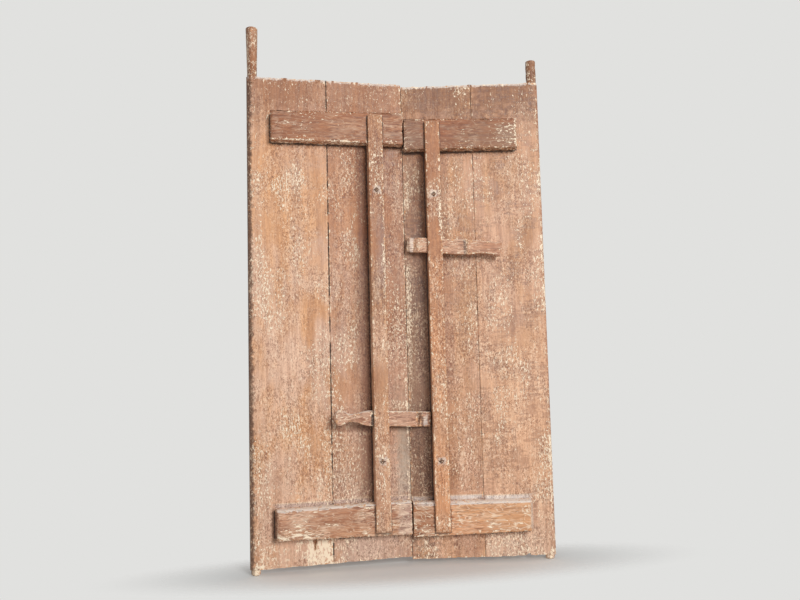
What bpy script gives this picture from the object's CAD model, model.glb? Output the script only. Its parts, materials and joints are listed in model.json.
"""Looks of a pair of worn, painted plank door leaves with sliding wooden bolts.

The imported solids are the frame. Every board, batten, bar and bolt is modelled here again at the place and
size of its solid, with rounded, chipped edges and an uneven face, and is trimmed by that solid, so that
mortises, nail holes and seats stay where they are. The finishes are layers of old paint over bare wood.
Metres, +Z up, with the inside face of the door towards -Y.
"""

from __future__ import annotations

import json
import logging
import math
from collections.abc import Callable, Iterator, Sequence
from contextlib import contextmanager
from dataclasses import dataclass, replace
from enum import Enum

import bmesh
import bpy
import numpy as np
from mathutils import Matrix, Vector
from mathutils.bvhtree import BVHTree

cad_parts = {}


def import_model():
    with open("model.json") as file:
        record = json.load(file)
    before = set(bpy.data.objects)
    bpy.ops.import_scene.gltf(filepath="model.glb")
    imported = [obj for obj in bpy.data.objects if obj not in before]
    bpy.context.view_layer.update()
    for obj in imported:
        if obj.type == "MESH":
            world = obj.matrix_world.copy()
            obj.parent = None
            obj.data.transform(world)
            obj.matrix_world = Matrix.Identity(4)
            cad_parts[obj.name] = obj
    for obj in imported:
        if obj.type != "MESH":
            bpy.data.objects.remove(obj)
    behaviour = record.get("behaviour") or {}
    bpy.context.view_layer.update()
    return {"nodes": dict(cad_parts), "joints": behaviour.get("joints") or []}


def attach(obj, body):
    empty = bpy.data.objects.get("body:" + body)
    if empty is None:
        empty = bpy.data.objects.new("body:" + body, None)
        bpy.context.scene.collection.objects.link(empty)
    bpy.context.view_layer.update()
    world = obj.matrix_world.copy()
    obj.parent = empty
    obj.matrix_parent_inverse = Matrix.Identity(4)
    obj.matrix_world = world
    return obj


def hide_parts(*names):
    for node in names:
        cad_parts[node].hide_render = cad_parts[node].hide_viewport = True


LOG = logging.getLogger("door")

Point = tuple[float, float, float]
Colour = tuple[float, float, float]
Socket = bpy.types.NodeSocket
Feed = Socket | float | Sequence[float]

SKIN = 0.0001                # by which a worn face lies inside its solid
WELD = 0.00001               # distance within which two points are one
MOSTLY = 0.9                 # share of its length that an edge has along the axis it runs along
ARRIS_REACH = 0.016          # distance over which an edge's wear fades out
CREVICE_REACH = 0.014        # distance from a neighbour over which dirt fades out
DIRT_FALL = 0.0055           # by which dirt lies lower than the neighbour it hangs on
DENT_FADE = 1.5              # power by which dents fade away from an edge
FACING = 0.95                # cosine within which a face looks along a direction
SMOOTH_ANGLE = math.radians(38)
LEFT_ARRIS = 0.002
RIGHT_ARRIS = 0.0008


class Axis(Enum):
    """Axes of a leaf: along it from its pivot, across its boards, and up."""

    ALONG = 0
    ACROSS = 1
    UP = 2


class Grain(Enum):
    """The way the grain of a piece runs."""

    UPRIGHT = "upright"
    LEVEL = "level"


# Old paint and what shows through it, as linear colours
CREAM: Colour = (1.00, 0.82, 0.610)
UMBER: Colour = (0.075, 0.042, 0.028)
SALMON: Colour = (0.80, 0.41, 0.195)
PINK: Colour = (0.88, 0.56, 0.385)
ROSE: Colour = (0.65, 0.325, 0.170)
HEATHER: Colour = (0.74, 0.44, 0.295)
TAN: Colour = (0.68, 0.36, 0.185)
BLUSH: Colour = (0.80, 0.47, 0.300)
CHESTNUT: Colour = (0.385, 0.140, 0.058)
SIENNA: Colour = (0.66, 0.300, 0.140)
BRICK: Colour = (0.44, 0.180, 0.082)
BROWN: Colour = (0.45, 0.200, 0.100)
COCOA: Colour = (0.34, 0.150, 0.070)
RUST: Colour = (0.60, 0.285, 0.160)
ORANGE: Colour = (0.82, 0.390, 0.185)
APRICOT: Colour = (0.89, 0.515, 0.305)
MAUVE: Colour = (0.33, 0.195, 0.130)
BARK: Colour = (0.22, 0.110, 0.062)
ASH: Colour = (0.46, 0.37, 0.275)
DUST: Colour = (0.84, 0.73, 0.640)
FROST: Colour = (0.93, 0.86, 0.800)
LILAC: Colour = (0.66, 0.50, 0.430)
LINEN: Colour = (1.00, 0.74, 0.530)

# What dirt and wear multiply a tone by
SOIL: Colour = (0.29, 0.175, 0.105)
DARK_BAND: Colour = (0.66, 0.58, 0.56)
DARK_STREAK: Colour = (0.50, 0.42, 0.40)
DARK_MOTTLE: Colour = (0.57, 0.50, 0.48)
DARK_SAW: Colour = (0.60, 0.53, 0.52)


@dataclass(frozen=True)
class Noise:
    """A cloudy texture that shapes wear: its size, detail, contrast and brightness."""

    size: float
    detail: int = 2
    contrast: float = 1.0
    brightness: float = 1.0

    def texture(self, name: str) -> bpy.types.Texture:
        """Returns the texture as a new block of data."""
        made = bpy.data.textures.new(name, "CLOUDS")
        made.noise_scale = self.size
        made.noise_depth = self.detail
        made.contrast = self.contrast
        made.intensity = self.brightness
        return made


FACE_WAVES = Noise(0.07, 2)
EDGE_DENTS = Noise(0.022, 3, 1.8, 1.35)
EDGE_CHIPS = Noise(0.011, 2, 4.0, 1.5)
END_TEARS = Noise(0.016, 4, 2.2, 1.3)


@dataclass(frozen=True)
class LeafFrame:
    """The own axes of a leaf, with x from its pivot line, y across the boards and z up.

    Attributes:
        name: The leaf's side, with which its nodes' names start.
        body: The body that its pieces ride on.
        matrix: The way from these axes to the row's.
        side: +1 where the free edge lies towards +x, and -1 where it lies towards -x.
    """

    name: str
    body: str
    matrix: Matrix
    side: int

    def points(self, node: bpy.types.Object) -> np.ndarray:
        """Returns a node's corners in the leaf's axes."""
        to_leaf = np.array(self.matrix.inverted())
        corners = np.array([vert.co for vert in node.data.vertices])
        return corners @ to_leaf[:3, :3].T + to_leaf[:3, 3]

    def box(self, node: bpy.types.Object) -> tuple[Vector, Vector]:
        """Returns a node's lowest and highest corner in the leaf's axes."""
        corners = self.points(node)
        return Vector(corners.min(0)), Vector(corners.max(0))

    def widest_face(self, node: bpy.types.Object, way: Vector) -> tuple[Vector, Vector]:
        """Finds the widest flat face of a node that looks about along a direction.

        Args:
            node: The node whose faces are searched.
            way: The direction, in the leaf's axes.

        Returns:
            A point of the face and its normal, in the leaf's axes.
        """
        to_leaf = self.matrix.inverted()
        turn = to_leaf.to_3x3()
        best = max((face for face in node.data.polygons if (turn @ face.normal).dot(way) > FACING),
                   key=lambda face: face.area)
        return to_leaf @ best.center, turn @ best.normal


def runs(run: Vector, axis: Axis) -> bool:
    """Returns whether an edge runs along an axis."""
    return abs(run[axis.value]) > MOSTLY * run.length


class Bench:
    """One workpiece, shaped in a leaf's axes with Blender's own tools."""

    UP_FROM = 0.25               # the upward part of a normal from which dust lies
    UP_SPAN = 0.4                # and over which it grows to all of it

    def __init__(self, piece: bpy.types.Object, low: Vector, high: Vector) -> None:
        """Puts a piece on the bench.

        Args:
            piece: The piece.
            low: Its lowest corner.
            high: Its highest corner.
        """
        self.piece = piece
        self.size = high - low
        self.planes: list[tuple[Vector, Vector]] = []
        for axis in Axis:
            outward = Vector((0, 0, 0))
            outward[axis.value] = 1
            self.planes += [(low, -outward), (high, outward)]

    @classmethod
    def block(cls, name: str, low: Vector, high: Vector) -> Bench:
        """Puts a new block on the bench.

        Args:
            name: The piece's name.
            low: The block's lowest corner.
            high: The block's highest corner.

        Returns:
            The bench with the block.
        """
        bpy.ops.object.select_all(action="DESELECT")
        bpy.ops.mesh.primitive_cube_add(size=1, location=(low + high) / 2)
        piece = bpy.context.active_object
        piece.name = name
        piece.scale = high - low
        bpy.ops.object.transform_apply(location=True, rotation=True, scale=True)
        return cls(piece, low, high)

    @contextmanager
    def editing(self) -> Iterator[bmesh.types.BMesh]:
        """Opens the piece in edit mode with nothing selected."""
        bpy.ops.object.select_all(action="DESELECT")
        self.piece.select_set(True)
        bpy.context.view_layer.objects.active = self.piece
        bpy.ops.object.mode_set(mode="EDIT")
        bpy.ops.mesh.select_mode(type="EDGE")
        bpy.ops.mesh.select_all(action="DESELECT")
        yield bmesh.from_edit_mesh(self.piece.data)
        bpy.ops.object.mode_set(mode="OBJECT")

    def pick(self, form: bmesh.types.BMesh, wanted: Callable[[Vector, Vector], bool]) -> None:
        """Selects the edges for which wanted(middle, run) holds, with run from one end to the other."""
        for edge in form.edges:
            first, second = (vert.co for vert in edge.verts)
            if wanted((first + second) / 2, second - first):
                edge.select_set(True)
        bmesh.update_edit_mesh(self.piece.data)

    def cut(self, point: Vector, outward: Vector) -> None:
        """Saws off what lies outside a plane."""
        with self.editing():
            bpy.ops.mesh.select_all(action="SELECT")
            bpy.ops.mesh.bisect(plane_co=point, plane_no=outward, use_fill=True, clear_outer=True)
        self.planes.append((point, outward))

    def round_off(self, wanted: Callable[[Vector, Vector], bool], width: float, steps: int) -> None:
        """Rounds the edges for which wanted(middle, run) holds."""
        with self.editing() as form:
            self.pick(form, wanted)
            bpy.ops.mesh.bevel(offset=width, segments=steps, profile=0.5, affect="EDGES")

    def refine(self, step: float, *axes: Axis) -> None:
        """Divides the long edges along some axes, one by one, into steps of about a given length."""
        for axis in axes:
            length = self.size[axis.value]
            with self.editing() as form:
                self.pick(form, lambda middle, run: runs(run, axis) and abs(run[axis.value]) > length / 2)
                bpy.ops.mesh.subdivide(number_cuts=max(1, round(length / step) - 1))

    def corners(self) -> np.ndarray:
        """Returns the places of the mesh's points."""
        places = np.empty(len(self.piece.data.vertices) * 3)
        self.piece.data.vertices.foreach_get("co", places)
        return places.reshape(-1, 3)

    def near_plane(self, point: Vector, outward: Vector, reach: float) -> np.ndarray:
        """Weights that fall from 1 on a plane to 0 at a distance of reach inside it."""
        inside = (np.array(point) - self.corners()) @ np.array(outward)
        return np.clip(1 - inside / reach, 0, 1)

    def near_arris(self, reach: float) -> np.ndarray:
        """Weights that fall from 1 on an edge of the block to 0 at a distance of reach from it."""
        places = self.corners()
        inside = [(np.array(point) - places) @ np.array(outward) for point, outward in self.planes]
        return np.clip(1 - np.sort(inside, axis=0)[1] / reach, 0, 1)

    def wear(self, noise: Noise, depth: float, weights: np.ndarray | None = None, way: str = "NORMAL") -> None:
        """Wears the surface inwards by up to depth.

        Args:
            noise: The texture of the wear.
            depth: The greatest loss.
            weights: The share of it that each point gets, or None for all of it.
            way: The Displace modifier's direction.
        """
        modifier = self.piece.modifiers.new("Wear", "DISPLACE")
        modifier.texture = noise.texture(self.piece.name)
        modifier.direction = way
        modifier.mid_level = 1.0
        modifier.strength = depth
        if weights is not None:
            group = self.piece.vertex_groups.new(name="Wear")
            for index in np.nonzero(weights > 0)[0]:
                group.add([int(index)], float(weights[index]), "REPLACE")
            modifier.vertex_group = group.name
        self.apply(modifier)
        self.piece.vertex_groups.clear()

    def apply(self, modifier: bpy.types.Modifier) -> None:
        """Applies a modifier of the piece."""
        bpy.context.view_layer.objects.active = self.piece
        bpy.ops.object.modifier_apply(modifier=modifier.name)

    def combine(self, other: bpy.types.Object, operation: str) -> None:
        """Joins the piece with another closed shape by a Boolean, and uses that shape up."""
        modifier = self.piece.modifiers.new("Combine", "BOOLEAN")
        modifier.operation = operation
        modifier.solver = "MANIFOLD"
        modifier.object = other
        self.apply(modifier)
        bpy.data.objects.remove(other, do_unlink=True)

    def up_facing(self) -> np.ndarray:
        """Weights of the points whose surface looks up."""
        normals = np.empty(len(self.piece.data.vertices) * 3)
        self.piece.data.vertices.foreach_get("normal", normals)
        return np.clip((normals.reshape(-1, 3)[:, 2] - self.UP_FROM) / self.UP_SPAN, 0, 1)

    def near_shapes(self, shapes: Sequence[BVHTree], reach: float) -> np.ndarray:
        """Weights that fall from 1 where another shape touches to 0 at a distance of reach from it."""
        weights = np.zeros(len(self.piece.data.vertices))
        for index, vert in enumerate(self.piece.data.vertices):
            hits = (shape.find_nearest(vert.co, reach) for shape in shapes)
            found = [distance for place, _, _, distance in hits if place is not None]
            if found:
                weights[index] = 1 - min(found) / reach
        return weights

    def note(self, name: str, weights: np.ndarray) -> None:
        """Stores a weight of each point for the finish to read."""
        layer = self.piece.data.attributes.new(name, "FLOAT", "POINT")
        layer.data.foreach_set("value", weights.astype(np.float32))


def merged_copy(node: bpy.types.Object, to_leaf: Matrix) -> bpy.types.Object:
    """Returns a closed copy of a node's solid in the axes of a leaf."""
    mesh = node.data.copy()
    mesh.transform(to_leaf)
    form = bmesh.new()
    form.from_mesh(mesh)
    bmesh.ops.remove_doubles(form, verts=form.verts, dist=WELD)
    form.to_mesh(mesh)
    form.free()
    copy = bpy.data.objects.new(f"{node.name}_solid", mesh)
    bpy.context.scene.collection.objects.link(copy)
    return copy


class Wiring:
    """Adds nodes to one shader node tree and joins them."""

    def __init__(self, tree: bpy.types.NodeTree) -> None:
        """Starts with a tree's nodes as they are."""
        self.tree = tree

    def feed(self, socket: Socket, feed: Feed) -> None:
        """Links an output to a socket, or sets the socket's own value."""
        if isinstance(feed, Socket):
            self.tree.links.new(feed, socket)
        elif socket.type == "RGBA":
            socket.default_value = (*feed, 1.0)
        else:
            socket.default_value = feed

    def add(self, kind: str, feeds: dict[str | int, Feed], **settings: object) -> bpy.types.Node:
        """Adds a node.

        Args:
            kind: The node's type.
            feeds: What goes into its inputs, by name or number.
            settings: Its properties.

        Returns:
            The node.
        """
        node = self.tree.nodes.new(kind)
        for name, value in settings.items():
            setattr(node, name, value)
        for key, feed in feeds.items():
            self.feed(node.inputs[key], feed)
        return node

    def sum(self, operation: str, *feeds: Feed, clamp: bool = False) -> Socket:
        """Returns the result of a Math node."""
        node = self.add("ShaderNodeMath", dict(enumerate(feeds)), operation=operation, use_clamp=clamp)
        return node.outputs[0]

    def vector(self, operation: str, *feeds: Feed) -> Socket:
        """Returns the vector result of a Vector Math node."""
        return self.add("ShaderNodeVectorMath", dict(enumerate(feeds)), operation=operation).outputs[0]

    def noise(self, place: Feed, scale: Feed = 1.0, detail: float = 2, rough: float = 0.6, warp: float = 0.0) -> Socket:
        """Returns a Noise texture's value."""
        feeds = {"Vector": place, "Scale": scale, "Detail": detail, "Roughness": rough, "Distortion": warp}
        return self.add("ShaderNodeTexNoise", feeds).outputs["Fac"]

    def step(self, value: Feed, low: Feed, high: Feed) -> Socket:
        """Returns a smooth rise from 0 at low to 1 at high."""
        feeds = {"Value": value, "From Min": low, "From Max": high}
        return self.add("ShaderNodeMapRange", feeds, interpolation_type="SMOOTHSTEP").outputs["Result"]

    def mix(self, share: Feed, first: Feed, second: Feed, blend: str = "MIX") -> Socket:
        """Returns a mix of two colours."""
        node = self.add("ShaderNodeMix", {0: share, 6: first, 7: second}, data_type="RGBA", blend_type=blend)
        return node.outputs[2]

    def times(self, first: Feed, second: Feed, clamp: bool = False) -> Socket:
        """Returns a product."""
        return self.sum("MULTIPLY", first, second, clamp=clamp)

    def ripple(self, place: Feed, scale: Feed, detail: float = 2, rough: float = 0.6) -> Socket:
        """Returns a Noise texture's value about 0."""
        return self.sum("SUBTRACT", self.noise(place, scale, detail, rough), 0.5)

    def ramp(self, value: Feed, low: float, high: float, first: float, last: float) -> Socket:
        """Returns a straight run from first, where the value is low, to last, where it is high."""
        feeds = {"Value": value, "From Min": low, "From Max": high, "To Min": first, "To Max": last}
        return self.add("ShaderNodeMapRange", feeds).outputs["Result"]

    def darken(self, share: Feed, tone: Feed, dark: Colour) -> Socket:
        """Returns a tone that a dark one multiplies, as far as share goes."""
        return self.mix(share, tone, self.mix(1.0, tone, dark, "MULTIPLY"))

    def spread(self, place: Feed, across: Feed, along: Feed) -> Socket:
        """Returns a place that is scaled by across in x and y and by along in z."""
        scale = self.add("ShaderNodeCombineXYZ", {0: across, 1: across, 2: along})
        return self.vector("MULTIPLY", place, scale.outputs[0])

    def part(self, place: Feed, axis: Axis) -> Socket:
        """Returns one part of a place."""
        return self.add("ShaderNodeSeparateXYZ", {0: place}).outputs[axis.value]

    def stored(self, name: str) -> Socket:
        """Returns a weight that was noted on the bench."""
        return self.add("ShaderNodeAttribute", {}, attribute_name=name).outputs["Fac"]

    def spot(self) -> Socket:
        """Returns a point's place in the row's axes."""
        return self.add("ShaderNodeTexCoord", {}).outputs["Object"]

    def group(self, tree: bpy.types.NodeTree, feeds: dict[str, Feed]) -> Socket:
        """Places a node group and returns its first output."""
        node = self.tree.nodes.new("ShaderNodeGroup")
        node.node_tree = tree
        for key, feed in feeds.items():
            self.feed(node.inputs[key], feed)
        return node.outputs[0]


def new_material(name: str) -> tuple[bpy.types.Material, Wiring, bpy.types.NodeInputs]:
    """Returns a new material, its wiring and the inputs of its Principled shader."""
    made = bpy.data.materials.new(name)
    made.use_nodes = True
    return made, Wiring(made.node_tree), made.node_tree.nodes["Principled BSDF"].inputs


class Effects:
    """The node groups that the finishes share."""

    CLUSTER_LENGTH = 0.4         # fineness of clusters along the grain, as a share of that across it
    MOST_LIFT = 0.09             # most by which a cluster lowers the level of its flecks
    PATCH_CORNER = 0.4           # rounding of a patch's corners
    PATCH_DEPTH = 0.006          # half the depth over which a patch fades inside a leaf
    RING_SWAY = 0.22             # how far rings wind
    RING_ROUGH = 0.004           # how rough their lines are
    SAW_WIDTH = 26.0             # fineness of saw marks across a board
    SAW_SWING = 1.2              # how far their level changes from place to place
    SAW_SOFT = 0.08
    ARRIS_RAG = 3.4              # how ragged the limit of a bare edge is
    ARRIS_SOFT = 0.16

    def __init__(self) -> None:
        """Builds every group once."""
        self.streaks = self.make_streaks()
        self.mottle = self.make_mottle()
        self.chips = self.make_chips()
        self.patch = self.make_patch()
        self.rings = self.make_rings()
        self.saw_marks = self.make_saw_marks()
        self.bare_arris = self.make_bare_arris()

    @staticmethod
    def start(name: str, output: str, **inputs: str) -> tuple[Wiring, Callable[[Socket], None], *tuple[Socket, ...]]:
        """Starts a node group.

        Args:
            name: The group's name.
            output: The name of its one output, a value.
            inputs: Its inputs' names and kinds, Vector or Float.

        Returns:
            The wiring, a function that takes the output, and the inputs in their order.
        """
        tree = bpy.data.node_groups.new(name, "ShaderNodeTree")
        for key, kind in inputs.items():
            tree.interface.new_socket(key, in_out="INPUT", socket_type=f"NodeSocket{kind}")
        tree.interface.new_socket(output, in_out="OUTPUT", socket_type="NodeSocketFloat")
        entry = tree.nodes.new("NodeGroupInput")
        leave = tree.nodes.new("NodeGroupOutput")
        wiring = Wiring(tree)
        return (wiring, lambda result: wiring.feed(leave.inputs[0], result), *entry.outputs[:len(inputs)])

    def make_streaks(self) -> bpy.types.NodeTree:
        """Long streaks of grain along z."""
        wiring, give, place, across, along = self.start(
            "Grain streaks", "Streak", Place="Vector", Across="Float", Along="Float")
        drawn = wiring.spread(place, across, along)
        give(wiring.step(wiring.noise(drawn, detail=4, warp=0.5), low=0.38, high=0.64))
        return wiring.tree

    def make_mottle(self) -> bpy.types.NodeTree:
        """Winding light and dark of paint over coarse grain, about 0.5."""
        wiring, give, place, size, stretch = self.start(
            "Mottle", "Value", Place="Vector", Size="Float", Stretch="Float")
        fine = wiring.sum("DIVIDE", 1.0, size)
        drawn = wiring.spread(place, fine, wiring.sum("DIVIDE", fine, stretch))
        give(wiring.noise(drawn, rough=0.55, warp=1.2))
        return wiring.tree

    def make_chips(self) -> bpy.types.NodeTree:
        """Flecks where the top coat is gone, in clusters; Level is the noise level above which it is."""
        wiring, give, place, size, stretch, level, soft, cluster, swing = self.start(
            "Paint chips", "Mask", Place="Vector", Size="Float", Stretch="Float",
            Level="Float", Soft="Float", Cluster="Float", Swing="Float")
        fine = wiring.sum("DIVIDE", 1.0, size)
        drawn = wiring.spread(place, fine, wiring.sum("DIVIDE", fine, stretch))
        fleck = wiring.noise(drawn, detail=3, rough=0.68, warp=0.5)
        near = wiring.ripple(wiring.spread(place, 1.0, self.CLUSTER_LENGTH), cluster)
        lift = wiring.sum("MINIMUM", wiring.times(near, swing), self.MOST_LIFT)
        level = wiring.sum("SUBTRACT", level, lift)
        give(wiring.step(fleck, level, wiring.sum("ADD", level, soft)))
        return wiring.tree

    def make_patch(self) -> bpy.types.NodeTree:
        """A ragged patch about a centre, full inside its half sizes; Back is its share behind a leaf's middle."""
        wiring, give, place, centre, half, soft, ragged, back = self.start(
            "Ragged patch", "Mask", Place="Vector", Centre="Vector", Half="Vector",
            Soft="Vector", Ragged="Float", Back="Float")
        rag = wiring.times(wiring.ripple(place, scale=55.0, detail=4, rough=0.65), ragged)
        offset = wiring.vector("SUBTRACT", place, centre)
        share = wiring.vector("ABSOLUTE", wiring.vector("DIVIDE", offset, half))
        share = wiring.vector("ADD", share, wiring.sum("SUBTRACT", rag, 1.0))
        share = wiring.vector("DIVIDE", share, soft)
        most = wiring.sum("SMOOTH_MAX", wiring.part(share, Axis.ALONG), wiring.part(share, Axis.UP), self.PATCH_CORNER)
        front = wiring.step(wiring.part(place, Axis.ACROSS), self.PATCH_DEPTH, -self.PATCH_DEPTH)
        give(wiring.times(wiring.step(most, low=1.0, high=-1.0), wiring.sum("MAXIMUM", front, back)))
        return wiring.tree

    def make_rings(self) -> bpy.types.NodeTree:
        """Broken pale lines of year rings, which run along z and close into long loops."""
        wiring, give, place, pitch = self.start("Year rings", "Line", Place="Vector", Pitch="Float")
        loose = wiring.noise(wiring.spread(place, 16.0, 5.0), rough=0.5)
        fine = wiring.noise(wiring.spread(place, 120.0, 30.0))
        turn = wiring.sum("MULTIPLY_ADD", fine, self.RING_ROUGH, wiring.times(loose, self.RING_SWAY))
        turn = wiring.sum("PINGPONG", wiring.sum("DIVIDE", turn, pitch), 0.5)
        whole = wiring.step(wiring.noise(place, scale=26.0, detail=3, rough=0.65), low=0.40, high=0.56)
        give(wiring.times(wiring.step(turn, low=0.36, high=0.47), whole))
        return wiring.tree

    def make_saw_marks(self) -> bpy.types.NodeTree:
        """Broken level lines left by a saw."""
        wiring, give, place, pitch, level = self.start(
            "Saw marks", "Mark", Place="Vector", Pitch="Float", Level="Float")
        drawn = wiring.spread(place, self.SAW_WIDTH, wiring.sum("DIVIDE", 1.0, pitch))
        near = wiring.times(wiring.ripple(place, scale=9.0), self.SAW_SWING)
        level = wiring.sum("SUBTRACT", level, near)
        line = wiring.noise(drawn, detail=3, warp=0.3)
        give(wiring.step(line, level, wiring.sum("ADD", level, self.SAW_SOFT)))
        return wiring.tree

    def make_bare_arris(self) -> bpy.types.NodeTree:
        """Where an edge has lost its paint, from the stored closeness to that edge."""
        wiring, give, place, level, size = self.start(
            "Bare arris", "Mask", Place="Vector", Level="Float", Size="Float")
        fine = wiring.sum("DIVIDE", 1.0, size)
        rag = wiring.times(wiring.ripple(place, fine, detail=4, rough=0.68), self.ARRIS_RAG)
        close = wiring.sum("ADD", wiring.stored("arris"), rag)
        give(wiring.step(close, level, wiring.sum("ADD", level, self.ARRIS_SOFT)))
        return wiring.tree


@dataclass(frozen=True)
class Streaks:
    """Streaks along the grain: their fineness across and along it, and where in the noise they lie."""

    across: float
    along: float
    shift: Point = (0.0, 0.0, 0.0)

    def lay(self, wiring: Wiring, effects: Effects, place: Socket) -> Socket:
        """Returns the streaks' strength at a place with the grain along z."""
        return wiring.group(effects.streaks, {"Place": wiring.vector("ADD", place, self.shift),
                                              "Across": self.across, "Along": self.along})


@dataclass(frozen=True)
class Flecks:
    """Flecks of lost paint or of dirt.

    Attributes:
        size: Their width.
        stretch: How many times as long as wide they are.
        soft: Softness of their edges.
        cluster: Fineness of the clusters that they lie in.
        swing: How much a cluster changes their number.
        shift: Where in the noise they lie.
    """

    size: float
    stretch: float
    soft: float
    cluster: float
    swing: float
    shift: Point = (0.0, 0.0, 0.0)

    def lay(self, wiring: Wiring, effects: Effects, place: Socket, level: Feed) -> Socket:
        """Returns the flecks' mask at a place with the grain along z, for a noise level."""
        return wiring.group(effects.chips, {"Place": wiring.vector("ADD", place, self.shift), "Size": self.size,
                                            "Stretch": self.stretch, "Level": level, "Soft": self.soft,
                                            "Cluster": self.cluster, "Swing": self.swing})


BANDS = Streaks(42.0, 2.2)
FINE_STREAKS = Streaks(190.0, 14.0)
SMEARS = Streaks(48.0, 14.0, (1.7, 0.4, 2.9))
DOWEL_STREAKS = Streaks(400.0, 30.0)
GRIME = Flecks(0.0062, 3.0, 0.05, 14.0, 0.8, (3.7, 1.9, 5.3))
SPECKS = Flecks(0.0066, 1.9, 0.12, 16.0, 1.2)
CREAM_FLECKS = Flecks(0.0054, 2.1, 0.02, 11.0, 1.4, (6.1, 0.7, 3.4))


@dataclass(frozen=True)
class Area:
    """A ragged area of a leaf, by the distance from the pivot line and the height of its middle.

    Attributes:
        x: Place of its middle along the leaf.
        z: Height of its middle.
        wide: Its width.
        tall: Its height.
        strength: How much of the change it makes.
        soft: Width of its soft edge, as a share of its half size.
        ragged: How ragged that edge is.
        soft_ends: The same as soft for its upper and lower end, where that differs.
        all_round: Whether it shows on the back of a leaf too.
    """

    x: float
    z: float
    wide: float
    tall: float
    strength: float = 1.0
    soft: float = 0.35
    ragged: float = 2.5
    soft_ends: float | None = None
    all_round: bool = False

    def mask(self, wiring: Wiring, effects: Effects, place: Socket) -> Socket:
        """Returns the area's strength at a place in the leaf's axes."""
        inside = wiring.group(effects.patch, {"Place": place, "Centre": (self.x, 0, self.z),
                                              "Half": (self.wide / 2, 1, self.tall / 2),
                                              "Soft": (self.soft, 1, self.soft_ends or self.soft),
                                              "Ragged": self.ragged, "Back": float(self.all_round)})
        return wiring.sum("MULTIPLY", inside, self.strength)


Tint = tuple[Colour, Area]

COAT_ROUGHNESS = 0.50
RELIEF_ROUGHNESS = 0.25      # what the coat's relief adds to it
WORN_ROUGHNESS = 0.18        # what lost paint adds to it
WORN_DEPTH = 0.6             # depth of lost paint, as a share of the relief
COAT_TIDES = (9.0, 3.6)      # fineness of the coat's fading, across and along the grain
CALM_HEIGHTS = (1.35, 1.55)  # between which the mottle grows calm
CALM_DRIFT = (2.3, 0.0, 4.1)
SPARED_HEIGHTS = (1.38, 1.58)
CHIPPED_DROP = 0.1           # by which a chipped area lowers the levels of specks and flecks
RING_PITCH = 0.011
SAW_PITCH = 0.0095
SAW_LEVEL = 0.54
MARK_DEPTH = 0.4             # depth of streaks and saw marks, as a share of the mottle's
BARE_SIZE = 0.012            # size of the bare spots along an edge


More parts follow.
